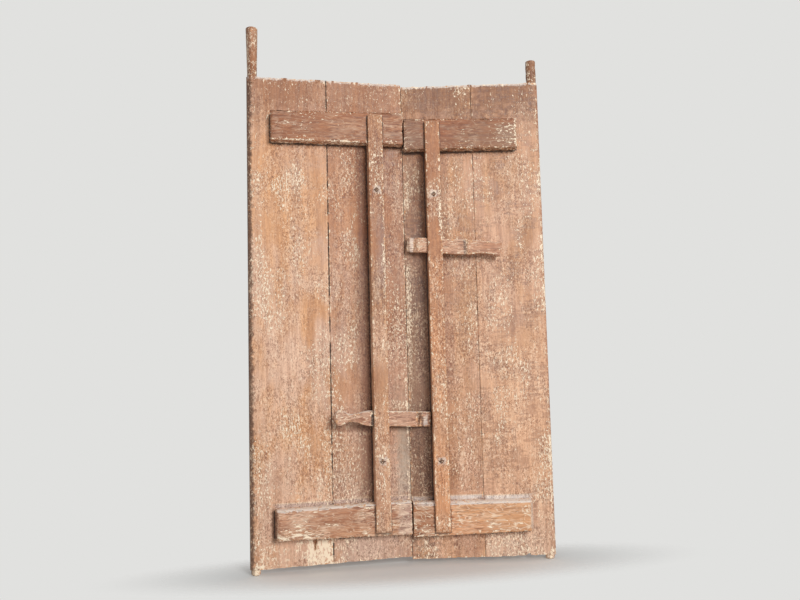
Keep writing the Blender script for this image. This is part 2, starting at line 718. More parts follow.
@dataclass(frozen=True)
class Paint:
    """Worn paint of one piece: its tones and how much of each kind of wear it shows.

    Attributes:
        name: The material's name.
        coat: Tone of the top coat.
        faded: Tone where the coat is thin.
        grain: The way of the grain.
        band: Strength of wide dark streaks.
        streak: Strength of fine dark streaks.
        smear: Strength of soft pale smears.
        mottle: Strength of the dark in the mottle.
        pale: Strength of the light in it.
        rings: Strength of pale lines of year rings.
        mottle_size: Width of the mottle's windings.
        mottle_stretch: How many times as long as wide these are.
        calm: Share of the mottle that is left near the top of a leaf.
        speck_level: Noise level above which soft pale specks show.
        fleck_level: Noise level above which sharp cream flecks show.
        fleck_stretch: How many times as long as wide these are.
        grime_level: Noise level above which dark specks show.
        spared: By how much the levels of specks and flecks are higher near the top of a leaf.
        saw: Strength of saw marks.
        joint: Strength of the dark line at a joint.
        crevice: Strength of the dirt along a neighbour.
        arris_level: Closeness to an edge above which it is bare.
        dust: Strength of the dust where a surface looks up.
        tints: Areas of another tone.
        chipped: Areas with more specks and flecks.
        soiled: Areas with dirt over everything else.
    """

    name: str
    coat: Colour
    faded: Colour
    grain: Grain = Grain.UPRIGHT
    band: float = 0.55
    streak: float = 0.40
    smear: float = 0.16
    mottle: float = 1.15
    pale: float = 0.55
    rings: float = 0.0
    mottle_size: float = 0.0050
    mottle_stretch: float = 1.8
    calm: float = 0.45
    speck_level: float = 0.70
    fleck_level: float = 0.66
    fleck_stretch: float = 2.1
    grime_level: float = 0.76
    spared: float = 0.045
    saw: float = 0.0
    joint: float = 0.92
    crevice: float = 0.85
    arris_level: float = 0.95
    dust: float = 0.8
    tints: tuple[tuple[Colour, Area], ...] = ()
    chipped: tuple[Area, ...] = ()
    soiled: tuple[Area, ...] = ()

    def material(self, effects: Effects, leaf: LeafFrame) -> bpy.types.Material:
        """Makes the Blender material of this paint.

        Args:
            effects: The shared node groups.
            leaf: The leaf in whose axes the patterns lie.

        Returns:
            The material.
        """
        made, wiring, shader = new_material(self.name)
        place = self.leaf_place(wiring, leaf)
        along = self.grain_place(wiring, place)
        tone, relief = self.coat_tone(wiring, effects, place, along)
        tone, worn = self.worn_tone(wiring, effects, place, along, tone)
        rough = wiring.sum("MULTIPLY_ADD", relief, RELIEF_ROUGHNESS, COAT_ROUGHNESS)
        height = wiring.sum("MULTIPLY_ADD", worn, -WORN_DEPTH, relief)
        bump = wiring.add("ShaderNodeBump", {"Strength": 0.6, "Distance": 0.0012, "Height": height})
        wiring.feed(shader["Base Color"], tone)
        wiring.feed(shader["Roughness"], wiring.sum("MULTIPLY_ADD", worn, WORN_ROUGHNESS, rough))
        wiring.feed(shader["Normal"], bump.outputs[0])
        return made

    def coat_tone(self, wiring: Wiring, effects: Effects, place: Socket,
                  along: Socket) -> tuple[Socket, Socket]:
        """Lays the coat with its fading, tints, streaks, mottle, rings and saw marks.

        Args:
            wiring: The material's wiring.
            effects: The shared node groups.
            place: The place in the leaf's axes.
            along: The place with the grain along z.

        Returns:
            The tone and the relief of the coat.
        """
        tide = wiring.noise(wiring.spread(along, *COAT_TIDES), detail=3, warp=0.3)
        tone = wiring.mix(wiring.step(tide, low=0.38, high=0.62), self.coat, self.faded)
        for colour, area in self.tints:
            tone = wiring.mix(area.mask(wiring, effects, place), tone, colour)
        streak = FINE_STREAKS.lay(wiring, effects, along)
        tone = wiring.darken(wiring.times(BANDS.lay(wiring, effects, along), self.band), tone, DARK_BAND)
        tone = wiring.darken(wiring.times(streak, self.streak), tone, DARK_STREAK)
        busy = self.busy(wiring, place, along)
        smear = wiring.step(SMEARS.lay(wiring, effects, along), low=0.1, high=1.1)
        tone = wiring.mix(wiring.times(smear, wiring.times(busy, self.smear), clamp=True), tone, LINEN)
        mottle = wiring.group(effects.mottle, {"Place": along, "Size": self.mottle_size,
                                               "Stretch": self.mottle_stretch})
        dark = wiring.step(mottle, low=0.51, high=0.36)
        tone = wiring.darken(wiring.times(dark, wiring.times(busy, self.mottle), clamp=True), tone, DARK_MOTTLE)
        light = wiring.step(mottle, low=0.55, high=0.70)
        tone = wiring.mix(wiring.times(light, wiring.times(busy, self.pale), clamp=True), tone, CREAM)
        if self.rings:
            ring = wiring.group(effects.rings, {"Place": along, "Pitch": RING_PITCH})
            tone = wiring.mix(wiring.times(ring, self.rings), tone, CREAM)
        relief = wiring.sum("MULTIPLY_ADD", streak, -MARK_DEPTH, mottle)
        if self.saw:
            saw = wiring.group(effects.saw_marks, {"Place": place, "Pitch": SAW_PITCH, "Level": SAW_LEVEL})
            tone = wiring.darken(wiring.times(saw, self.saw), tone, DARK_SAW)
            relief = wiring.sum("MULTIPLY_ADD", saw, -MARK_DEPTH, relief)
        return tone, relief

    def busy(self, wiring: Wiring, place: Socket, along: Socket) -> Socket:
        """Returns how strong the mottle is: calmer near the top of a leaf, and not the same everywhere."""
        height = wiring.ramp(wiring.part(place, Axis.UP), *CALM_HEIGHTS, first=1.0, last=self.calm)
        drift = wiring.noise(wiring.vector("ADD", along, CALM_DRIFT), scale=8.0)
        return wiring.times(height, wiring.ramp(drift, low=0.38, high=0.64, first=0.25, last=1.6))

    def worn_tone(self, wiring: Wiring, effects: Effects, place: Socket, along: Socket,
                  tone: Socket) -> tuple[Socket, Socket]:
        """Adds dirt, pale specks, cream flecks, dust, dark joints and bare edges to a coat.

        Args:
            wiring: The material's wiring.
            effects: The shared node groups.
            place: The place in the leaf's axes.
            along: The place with the grain along z.
            tone: The coat's tone.

        Returns:
            The tone and a mask of what has lost its paint.
        """
        spared = wiring.ramp(wiring.part(place, Axis.UP), *SPARED_HEIGHTS, first=0.0, last=self.spared)
        levels = [wiring.sum("ADD", spared, level) for level in (self.speck_level, self.fleck_level)]
        for area in self.chipped:
            lost = wiring.times(area.mask(wiring, effects, place), CHIPPED_DROP)
            levels = [wiring.sum("SUBTRACT", level, lost) for level in levels]
        grime = GRIME.lay(wiring, effects, along, self.grime_level)
        speck = SPECKS.lay(wiring, effects, along, levels[0])
        fleck = replace(CREAM_FLECKS, stretch=self.fleck_stretch).lay(wiring, effects, along, levels[1])
        tone = wiring.mix(wiring.times(grime, 0.8), tone, UMBER)
        tone = wiring.mix(wiring.times(speck, 0.9), tone, CREAM)
        tone = wiring.mix(fleck, tone, CREAM)
        rag = wiring.ripple(along, scale=110.0, detail=3)
        dirt = wiring.step(wiring.sum("MULTIPLY_ADD", rag, 0.9, wiring.stored("crevice")), low=0.58, high=0.80)
        tone = wiring.mix(wiring.times(dirt, self.crevice), tone, UMBER)
        dust = wiring.step(wiring.sum("MULTIPLY_ADD", rag, 1.4, wiring.stored("dust")), low=0.35, high=0.85)
        tone = wiring.mix(wiring.times(dust, self.dust), tone, DUST)
        joint = wiring.sum("MULTIPLY_ADD", wiring.noise(along, scale=90.0), 0.8, wiring.stored("joint"))
        joint = wiring.step(joint, low=0.95, high=1.2)
        tone = wiring.mix(wiring.times(joint, self.joint), tone, UMBER)
        bare = wiring.group(effects.bare_arris, {"Place": along, "Level": self.arris_level, "Size": BARE_SIZE})
        bare = wiring.times(bare, wiring.sum("SUBTRACT", 1.0, joint))
        rubbed = wiring.mix(wiring.step(wiring.noise(along, scale=70.0, detail=3), low=0.45, high=0.55), TAN, CREAM)
        tone = wiring.mix(bare, tone, rubbed)
        for area in self.soiled:
            tone = wiring.darken(area.mask(wiring, effects, place), tone, SOIL)
        return tone, wiring.sum("MAXIMUM", wiring.sum("MAXIMUM", fleck, speck), bare)

    @staticmethod
    def leaf_place(wiring: Wiring, leaf: LeafFrame) -> Socket:
        """Returns the place of a point in the leaf's axes."""
        to_leaf = leaf.matrix.inverted()
        return wiring.add("ShaderNodeMapping", {"Vector": wiring.spot(), "Location": to_leaf.translation,
                                                "Rotation": to_leaf.to_euler()}).outputs[0]

    def grain_place(self, wiring: Wiring, place: Socket) -> Socket:
        """Returns the place with the grain turned to run along z."""
        if self.grain is Grain.UPRIGHT:
            return place
        return wiring.add("ShaderNodeMapping", {"Vector": place, "Rotation": (0, math.pi / 2, 0)}).outputs[0]


@dataclass(frozen=True)
class Iron:
    """Forged iron with rust and what is left of the paint."""

    name: str = "rusted_iron"
    paint: Colour = BROWN
    rust: Colour = (0.09, 0.05, 0.035)
    chip_shift: Point = (5.0, 3.0, 1.0)

    def material(self) -> bpy.types.Material:
        """Makes the Blender material."""
        made, wiring, shader = new_material(self.name)
        spot = wiring.spot()
        rust = wiring.step(wiring.noise(spot, scale=420.0, detail=4, rough=0.65), low=0.38, high=0.50)
        chips = wiring.noise(wiring.vector("ADD", spot, self.chip_shift), scale=300.0, detail=3)
        tone = wiring.mix(rust, self.paint, self.rust)
        bump = wiring.add("ShaderNodeBump", {"Strength": 0.6, "Distance": 0.0006, "Height": rust})
        wiring.feed(shader["Base Color"], wiring.mix(wiring.step(chips, low=0.58, high=0.64), tone, CREAM))
        wiring.feed(shader["Roughness"], wiring.sum("MULTIPLY_ADD", rust, 0.25, 0.55))
        wiring.feed(shader["Metallic"], wiring.times(rust, 0.3))
        wiring.feed(shader["Normal"], bump.outputs[0])
        return made


@dataclass(frozen=True)
class BareWood:
    """Unpainted wood of the hidden dowels."""

    name: str = "bare_wood"
    early: Colour = (0.52, 0.34, 0.19)
    late: Colour = (0.36, 0.21, 0.11)

    def material(self, effects: Effects) -> bpy.types.Material:
        """Makes the Blender material."""
        made, wiring, shader = new_material(self.name)
        streak = DOWEL_STREAKS.lay(wiring, effects, wiring.spot())
        wiring.feed(shader["Base Color"], wiring.mix(streak, self.early, self.late))
        wiring.feed(shader["Roughness"], wiring.sum("MULTIPLY_ADD", streak, 0.15, 0.68))
        return made


@dataclass
class Door:
    """What every piece needs: the frame's nodes and the shared effects."""

    nodes: dict[str, bpy.types.Object]
    effects: Effects


@dataclass
class Piece:
    """A worn wooden piece of a leaf.

    Attributes:
        door: What the pieces share.
        leaf: The leaf in whose axes it is shaped.
        node: The node that it stands for.
        paint: Its finish.
    """

    door: Door
    leaf: LeafFrame
    node: str
    paint: Paint

    @property
    def solid(self) -> bpy.types.Object:
        """The node's solid."""
        return self.door.nodes[self.node]

    def sawn_block(self, low: Vector, high: Vector) -> tuple[Bench, list[tuple[Vector, Vector]]]:
        """Puts a block on the bench and saws its upper and lower end where the solid's are.

        Args:
            low: The block's lowest corner.
            high: The block's highest corner.

        Returns:
            The bench, and a point and the normal of the upper and of the lower end.
        """
        skin = Vector((SKIN, SKIN, 0))
        bench = Bench.block(f"{self.node}_worn", low + skin, high - skin)
        ends = [self.leaf.widest_face(self.solid, Vector((0, 0, way))) for way in (1, -1)]
        for point, outward in ends:
            bench.cut(point - outward * SKIN, outward)
        return bench, ends

    def soil(self, bench: Bench, neighbours: Sequence[str]) -> None:
        """Notes where dust lies on the piece and where dirt sits in its corners with its neighbours."""
        nodes = [self.door.nodes[f"{self.leaf.name}_{name}"] for name in neighbours]
        shapes = [BVHTree.FromPolygons((self.leaf.points(node) - (0, 0, DIRT_FALL)).tolist(),
                                       [tuple(face.vertices) for face in node.data.polygons]) for node in nodes]
        bench.note("dust", bench.up_facing())
        bench.note("crevice", bench.near_shapes(shapes, CREVICE_REACH))

    def trim(self, bench: Bench) -> None:
        """Takes from the piece what lies outside its solid: mortises, nail holes and seats."""
        bench.combine(merged_copy(self.solid, self.leaf.matrix.inverted()), "INTERSECT")

    def settle(self, bench: Bench, slot: str, body: str | None = None) -> None:
        """Brings the finished piece from the leaf's axes to its place, dresses it and joins it to its body.

        Args:
            bench: The bench that holds the piece.
            slot: The record's material slot.
            body: The body that it rides on, where that isn't the leaf's.
        """
        piece = bench.piece
        piece.matrix_world = self.leaf.matrix
        bpy.ops.object.select_all(action="DESELECT")
        piece.select_set(True)
        bpy.context.view_layer.objects.active = piece
        bpy.ops.object.transform_apply(location=True, rotation=True, scale=True)
        bpy.ops.object.shade_smooth_by_angle(angle=SMOOTH_ANGLE)
        piece.data.materials.clear()
        piece.data.materials.append(self.paint.material(self.door.effects, self.leaf))
        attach(piece, body or self.leaf.body)
        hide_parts(self.node)
        LOG.info("%s: %d faces", piece.name, len(piece.data.polygons))


@dataclass
class Board(Piece):
    """One plank of a leaf, with a rounded, pinned edge where it is the pivot board."""

    step: float = 0.006              # size of the mesh's cells
    arris: float = 0.002
    pivot_round: float = 0.0155
    pivot_reach: float = 0.01        # within which an edge is the pivot's
    pivot_clear: float = 0.05        # beyond which one isn't
    tear_reach: float = 0.024        # below the torn top end
    tear: float = 0.003
    dent: float = 0.004
    dent_reach: float = 0.009
    exposed_reach: float = 0.010     # from the inside face and the foot, where dents are
    joint_spared: float = 0.6        # share by which dents are less at a joint
    free_joint: float = 0.7          # dirt of the free edge, as a share of a joint's
    wave: float = 0.0012
    calm: float = 0.006              # from a joint, within which the face is even
    pin_root: float = 0.02           # of a pin inside the plank
    pin_facets: int = 40
    pin_dent: float = 0.0022
    neck_below: float = 0.01         # below the top, where the neck is looked for
    neck_within: float = 0.024       # from the pivot line
    sole_below: float = 0.004        # below the foot, where the lower pin is

    @property
    def pivoted(self) -> bool:
        """Whether the plank carries the pivot pins."""
        return "pivot" in self.node

    def build(self) -> None:
        """Models the plank and puts it in its place."""
        low, high = self.leaf.box(self.solid)
        low.y, high.y = (self.leaf.widest_face(self.solid, Vector((0, way, 0)))[0].y for way in (-1, 1))
        rightward = self.leaf.side > 0
        outer = low.x if rightward else high.x
        if self.pivoted:
            outer = self.leaf.widest_face(self.solid, Vector((-self.leaf.side, 0, 0)))[0].x
            low.x, high.x = (outer, high.x) if rightward else (low.x, outer)
        bench, (top, foot) = self.sawn_block(low, high)
        bench.size = Vector((high.x - low.x, high.y - low.y, top[0].z - foot[0].z))
        if self.pivoted:
            bench.round_off(lambda middle, run: runs(run, Axis.UP) and abs(middle.x - outer) < self.pivot_reach,
                            self.pivot_round, 6)
        bench.round_off(lambda middle, run: runs(run, Axis.UP) and not (
            self.pivoted and abs(middle.x - outer) <= self.pivot_clear), self.arris, 3)
        bench.refine(self.step, Axis.UP, Axis.ALONG, Axis.ACROSS)
        bench.note("arris", bench.near_arris(ARRIS_REACH))
        near_low, near_high = (bench.near_plane(point, Vector((way, 0, 0)), self.calm)
                               for point, way in ((low, -1), (high, 1)))
        sides = np.maximum(near_low, near_high)
        inward, outward = (near_high, near_low) if rightward else (near_low, near_high)
        bench.note("joint", inward if self.pivoted else np.maximum(outward, self.free_joint * inward))
        bench.wear(FACE_WAVES, self.wave, 1 - sides)
        exposed = np.maximum(bench.near_plane(low, Vector((0, -1, 0)), self.exposed_reach),
                             bench.near_plane(*foot, self.exposed_reach))
        close = bench.near_arris(self.dent_reach) ** DENT_FADE
        bench.wear(EDGE_DENTS, self.dent, close * exposed * (1 - self.joint_spared * sides))
        bench.wear(END_TEARS, self.tear, bench.near_plane(*top, self.tear_reach) ** 2, "Z")
        if self.pivoted:
            self.add_pins(bench, top[0].z, foot[0].z)
        self.soil(bench, ("top_batten", "bottom_batten", "bar"))
        self.trim(bench)
        self.settle(bench, f"{self.leaf.name}_boards")

    def add_pins(self, bench: Bench, top: float, foot: float) -> None:
        """Joins the pins that the plank's solid has above its top and below its foot."""
        corners = self.leaf.points(self.solid)
        radius, height = np.hypot(corners[:, 0], corners[:, 1]), corners[:, 2]
        head = radius[height > top + self.pin_root].max() - 2 * SKIN
        neck = radius[(height > top - self.neck_below) & (radius < self.neck_within)].max() - 2 * SKIN
        sole = radius[height < foot - self.sole_below].max() - 2 * SKIN
        self.add_pin(bench, top - self.pin_root, height.max() - SKIN, min(neck, head), head)
        self.add_pin(bench, SKIN, foot + self.pin_root, sole, sole)

    def add_pin(self, bench: Bench, low: float, high: float, bottom: float, top: float) -> None:
        """Turns a pin between two heights, of a radius at its bottom and one at its top, and joins it to the plank."""
        bpy.ops.object.select_all(action="DESELECT")
        bpy.ops.mesh.primitive_cone_add(vertices=self.pin_facets, radius1=bottom, radius2=top, depth=high - low,
                                        location=(0, 0, (low + high) / 2))
        bpy.ops.object.transform_apply(location=True, rotation=True, scale=True)
        pin = Bench(bpy.context.active_object, Vector((-top, -top, low)), Vector((top, top, high)))
        pin.refine(self.step, Axis.UP)
        pin.wear(EDGE_DENTS, self.pin_dent)
        bench.combine(pin.piece, "UNION")


@dataclass
class Batten(Piece):
    """One batten of a leaf, tapered and worn along its front edges."""

    step: float = 0.005
    front_round: float = 0.0045
    end_bevel: float = 0.013
    end_reach: float = 0.002
    top_bevel: float = 0.005
    arris: float = 0.0018
    front_clear: float = 0.03
    dent: float = 0.003
    dent_reach: float = 0.012
    chip: float = 0.002
    chip_reach: float = 0.008
    wave: float = 0.0012

    def build(self) -> None:
        """Models the batten and puts it in its place."""
        low, high = self.leaf.box(self.solid)
        bench, _ = self.sawn_block(low, high)
        front = low.y + SKIN
        outer = (low.x if self.leaf.side > 0 else high.x) + self.leaf.side * SKIN
        bench.round_off(lambda middle, run: abs(middle.y - front) < WELD and abs(middle.x - outer) < self.end_reach,
                        self.end_bevel, 1)
        bench.round_off(lambda middle, run: abs(middle.y - front) < WELD and runs(run, Axis.ALONG)
                        and middle.z > (low.z + high.z) / 2, self.top_bevel, 3)
        bench.round_off(lambda middle, run: abs(middle.y - front) < WELD, self.front_round, 3)
        bench.round_off(lambda middle, run: middle.y > front + self.front_clear or runs(run, Axis.ACROSS),
                        self.arris, 2)
        bench.refine(self.step, Axis.ALONG, Axis.UP, Axis.ACROSS)
        bench.note("arris", bench.near_arris(ARRIS_REACH))
        bench.wear(FACE_WAVES, self.wave)
        bench.wear(EDGE_DENTS, self.dent, bench.near_arris(self.dent_reach) ** DENT_FADE)
        bench.wear(EDGE_CHIPS, self.chip, bench.near_arris(self.chip_reach))
        self.soil(bench, ("pivot_board", "inner_board", "bar"))
        self.trim(bench)
        self.settle(bench, "battens")


@dataclass
class Bar(Piece):
    """The tall bar of a leaf, with bevelled ends."""

    step: float = 0.005
    arris: float = 0.003
    end_bevel: float = 0.0095
    dent: float = 0.002
    dent_reach: float = 0.010
    chip: float = 0.0015
    chip_reach: float = 0.007
    wave: float = 0.0008

    def build(self) -> None:
        """Models the bar and puts it in its place."""
        low, high = self.leaf.box(self.solid)
        skin = Vector((SKIN, SKIN, SKIN))
        bench = Bench.block(f"{self.node}_worn", low + skin, high - skin)
        front = low.y + SKIN
        bench.round_off(lambda middle, run: abs(middle.y - front) < WELD and runs(run, Axis.ALONG),
                        self.end_bevel, 2)
        bench.round_off(lambda middle, run: runs(run, Axis.UP), self.arris, 3)
        bench.refine(self.step, Axis.UP, Axis.ALONG, Axis.ACROSS)
        bench.note("arris", bench.near_arris(ARRIS_REACH))
        bench.wear(FACE_WAVES, self.wave)
        bench.wear(EDGE_DENTS, self.dent, bench.near_arris(self.dent_reach) ** DENT_FADE)
        bench.wear(EDGE_CHIPS, self.chip, bench.near_arris(self.chip_reach))
        self.soil(bench, ("top_batten", "bottom_batten"))
        self.trim(bench)
        self.settle(bench, "bars")


@dataclass
class Bolt(Piece):
    """A sliding bolt, with handled, rounded edges."""

    voxel: float = 0.0018
    arris: float = 0.0028
    dent: float = 0.0018
    wave: float = 0.0008
    flat: float = math.radians(2)
    sharp: float = math.radians(25)
    bevelled: float = math.radians(30)
    line_step: float = 0.003

    def build(self) -> None:
        """Models the bolt from its solid and puts it in its place."""
        bench = Bench(merged_copy(self.solid, self.leaf.matrix.inverted()), *self.leaf.box(self.solid))
        bench.piece.name = f"{self.node}_worn"
        with bench.editing():
            bpy.ops.mesh.select_all(action="SELECT")
            bpy.ops.mesh.dissolve_limited(angle_limit=self.flat)
        lines = self.edge_points(bench.piece)
        bevel = bench.piece.modifiers.new("Round", "BEVEL")
        bevel.width = self.arris
        bevel.segments = 3
        bevel.limit_method = "ANGLE"
        bevel.angle_limit = self.bevelled
        bench.apply(bevel)
        remesh = bench.piece.modifiers.new("Refine", "REMESH")
        remesh.mode = "VOXEL"
        remesh.voxel_size = self.voxel
        bench.apply(remesh)
        far = np.array([np.sqrt(((lines - place) ** 2).sum(1).min()) for place in bench.corners()])
        close = np.clip(1 - far / ARRIS_REACH, 0, 1)
        bench.note("arris", close)
        bench.wear(FACE_WAVES, self.wave)
        bench.wear(EDGE_DENTS, self.dent, close ** 2)
        self.soil(bench, ())
        self.settle(bench, "bolts", self.node)

    def edge_points(self, piece: bpy.types.Object) -> np.ndarray:
        """Returns points along the sharp edges of a piece, a few millimetres apart."""
        form = bmesh.new()
        form.from_mesh(piece.data)
        points = []
        for edge in form.edges:
            if edge.calc_face_angle(0) > self.sharp:
                first, second = (vert.co for vert in edge.verts)
                count = max(2, round((second - first).length / self.line_step))
                points += [first.lerp(second, share) for share in np.linspace(0, 1, count)]
        form.free()
        return np.array(points)


@dataclass(frozen=True)
class Studio:
    """Camera, light, floor and backdrop."""

    eye: Point = (-0.7873, -2.4756, 0.7297)
    yaw: float = math.radians(-6.329)
    pitch: float = math.radians(4.521)
    roll: float = math.radians(1.442)
    lens: float = 31.5
    sensor: float = 36.0
    backdrop: Colour = (0.753, 0.753, 0.738)
    floor_size: float = 6.0
    floor_middle: Point = (-0.5, 0.0, 0.0)
    floor_reach: Point = (1.1, 0.26, 1.0)
    floor_fade: tuple[float, float] = (0.35, 1.0)
    floor_tone: Colour = (0.78, 0.78, 0.765)
    fill_front: float = 0.52
    fill_back: float = 0.32
    key_power: float = 245.0
    key_size: float = 2.3
    key_from: Point = (1.5, -5.8, 2.9)
    aim: Point = (-0.5, 0.0, 0.9)

    def build(self) -> None:
        """Sets up everything around the object."""
        self.add_camera()
        self.add_key()
        self.add_world()
        self.add_floor()
        bpy.context.scene.view_settings.view_transform = "Standard"

    def add_camera(self) -> None:
        """Stands the camera where the photograph was taken from."""
        data = bpy.data.cameras.new("camera")
        data.lens = self.lens
        data.sensor_width = self.sensor
        data.sensor_fit = "HORIZONTAL"
        camera = bpy.data.objects.new("camera", data)
        bpy.context.scene.collection.objects.link(camera)
        camera.matrix_world = (Matrix.Translation(self.eye) @ Matrix.Rotation(self.yaw, 4, "Z")
                               @ Matrix.Rotation(math.pi / 2 + self.pitch, 4, "X")
                               @ Matrix.Rotation(-self.roll, 4, "Z"))
        bpy.context.scene.camera = camera

    def add_key(self) -> None:
        """Hangs one large soft lamp in front of the door, high on its right."""
        data = bpy.data.lights.new("key", "AREA")
        data.energy = self.key_power
        data.shape = "DISK"
        data.size = self.key_size
        lamp = bpy.data.objects.new("key", data)
        bpy.context.scene.collection.objects.link(lamp)
        lamp.location = self.key_from
        lamp.rotation_euler = (Vector(self.aim) - Vector(self.key_from)).to_track_quat("-Z", "Y").to_euler()

    def add_world(self) -> None:
        """Lights the door softly from all round, most from its inside face's side, and shows a plain backdrop."""
        world = bpy.data.worlds.new("studio")
        bpy.context.scene.world = world
        world.use_nodes = True
        wiring = Wiring(world.node_tree)
        world.node_tree.nodes.clear()
        way = wiring.part(wiring.add("ShaderNodeTexCoord", {}).outputs["Generated"], Axis.ACROSS)
        level = wiring.ramp(way, low=-1.0, high=1.0, first=self.fill_front, last=self.fill_back)
        light = wiring.add("ShaderNodeBackground", {"Color": (1, 1, 1), "Strength": level})
        seen = wiring.add("ShaderNodeBackground", {"Color": self.backdrop, "Strength": 1.0})
        path = wiring.add("ShaderNodeLightPath", {})
        direct = wiring.sum("MAXIMUM", path.outputs["Is Camera Ray"], wiring.sum(
            "MAXIMUM", path.outputs["Is Glossy Ray"], path.outputs["Is Transmission Ray"]))
        both = wiring.add("ShaderNodeMixShader", {0: direct, 1: light.outputs[0], 2: seen.outputs[0]})
        wiring.add("ShaderNodeOutputWorld", {"Surface": both.outputs[0]})

    def add_floor(self) -> None:
        """Lays a pale floor that fades into the backdrop away from the door."""
        bpy.ops.object.select_all(action="DESELECT")
        bpy.ops.mesh.primitive_plane_add(size=self.floor_size, location=(self.aim[0], 0, 0))
        floor = bpy.context.active_object
        floor.name = "floor"
        bpy.ops.object.transform_apply(location=True, rotation=True, scale=True)
        made, wiring, _ = new_material("floor")
        made.node_tree.nodes.clear()
        away = wiring.vector("SUBTRACT", wiring.spot(), self.floor_middle)
        away = wiring.vector("DIVIDE", away, self.floor_reach)
        away = wiring.add("ShaderNodeVectorMath", {0: away}, operation="LENGTH").outputs["Value"]
        matt = wiring.add("ShaderNodeBsdfDiffuse", {"Color": self.floor_tone})
        clear = wiring.add("ShaderNodeBsdfTransparent", {})
        gone = wiring.step(away, *self.floor_fade)
        both = wiring.add("ShaderNodeMixShader", {0: gone, 1: matt.outputs[0], 2: clear.outputs[0]})
        wiring.add("ShaderNodeOutputMaterial", {"Surface": both.outputs[0]})
        floor.data.materials.append(made)


def around(*sizes: float) -> Area:
    """Returns an area that shows on both faces of a leaf."""
    return Area(*sizes, all_round=True)


def ledge(tone: Colour, x: float, z: float, wide: float, tall: float, rise: float, strength: float) -> tuple[Tint, ...]:
    """Returns the dusty strip above a bottom batten, and the cream line that lies by rise above its middle."""
    return ((tone, Area(x, z, wide, tall, strength, 0.15, 0.3, 0.3)),
            (CREAM, Area(x, z + rise, wide, 0.004, 0.8, 0.15, 1.0, 0.5)))


def nail_dust(x: float, *heights: float) -> tuple[Tint, ...]:
    """Returns the dust round the nails of a bar."""
    return tuple((DUST, Area(x, height, 0.026, 0.026, 0.7)) for height in heights)


def batten_paint(name: str, coat: Colour, faded: Colour, **wear: object) -> Paint:
    """Returns the paint of a batten, with a mottle that is drawn out along it."""
    return Paint(name, coat, faded, Grain.LEVEL, arris_level=0.86, mottle_size=0.0048, mottle_stretch=7.0, **wear)


def bolt_paint(name: str, faded: Colour, arris_level: float, *tints: Tint) -> Paint:
    """Returns the paint of a bolt."""
    return Paint(name, RUST, faded, Grain.LEVEL, smear=0.1, mottle_stretch=5.0, dust=1.0, arris_level=arris_level,
                 tints=tints)


TOP_BATTEN_WEAR = {"mottle": 1.2, "smear": 0.2, "pale": 0.3, "rings": 0.15, "calm": 0.6}
FOOT_PIN = around(0.0, 0.01, 0.06, 0.05, 0.9)

LEFT_PIVOT_PAINT = Paint(
    "left_pivot_board_paint", SALMON, PINK, saw=0.15,
    tints=((SALMON, Area(0.13, 1.33, 0.40, 0.34, 0.6)), (BROWN, around(0.13, 1.70, 0.40, 0.22, 0.95, 0.7)),
           (PINK, Area(0.14, 0.08, 0.30, 0.40, 0.6, 0.8)), (BARK, around(-0.021, 0.9, 0.034, 3.0, 0.85)),
           (BROWN, around(0.0, 1.83, 0.06, 0.20, 0.9)), *ledge(LILAC, 0.165, 0.2275, 0.195, 0.013, 0.008, 0.9)),
    chipped=(Area(0.035, 1.0, 0.05, 1.4, 0.4), Area(0.13, 1.37, 0.16, 0.10, 0.4), Area(0.21, 0.06, 0.12, 0.10, 0.95),
             Area(0.13, 0.06, 0.30, 0.14, 1.0), Area(0.15, 0.40, 0.12, 0.25, 0.35), FOOT_PIN,
             around(0.0, 1.83, 0.06, 0.20, 1.4)),
    soiled=(around(-0.021, 0.9, 0.028, 3.0, 0.6, 0.6), Area(0.060, 0.165, 0.012, 0.11, 0.7, 0.6, 0.6, 0.2),
            Area(0.257, 0.50, 0.024, 0.05, 0.7, 0.7, 1.0)))
LEFT_INNER_PAINT = Paint(
    "left_inner_board_paint", ROSE, HEATHER, saw=0.15,
    tints=((BROWN, around(0.40, 1.62, 0.36, 0.45, 0.8, 0.6)), (ASH, Area(0.518, 0.36, 0.050, 0.34, 0.8, 1.0)),
           (SIENNA, Area(0.33, 1.30, 0.20, 0.40, 0.8, 0.7)), (BRICK, Area(0.50, 1.10, 0.09, 0.80, 0.6, 0.5)),
           (DUST, Area(0.40, 0.12, 0.30, 0.40, 0.3, 0.8)), *ledge(LILAC, 0.40, 0.2315, 0.30, 0.013, 0.008, 0.9)),
    chipped=(Area(0.497, 0.555, 0.07, 0.03, 1.4), Area(0.375, 1.15, 0.06, 0.35, 0.4),
             Area(0.531, 0.40, 0.010, 0.44, 1.6), Area(0.40, 0.06, 0.30, 0.10, 0.35),
             Area(0.33, 0.75, 0.12, 0.50, 0.2)),
    soiled=(Area(0.404, 0.85, 0.085, 1.30, 0.8, 0.8, 0.8, 0.1), Area(0.33, 0.480, 0.11, 0.022, 0.6, 0.8, 1.0),
            Area(0.495, 0.482, 0.09, 0.014, 0.8, 0.6, 0.8)))
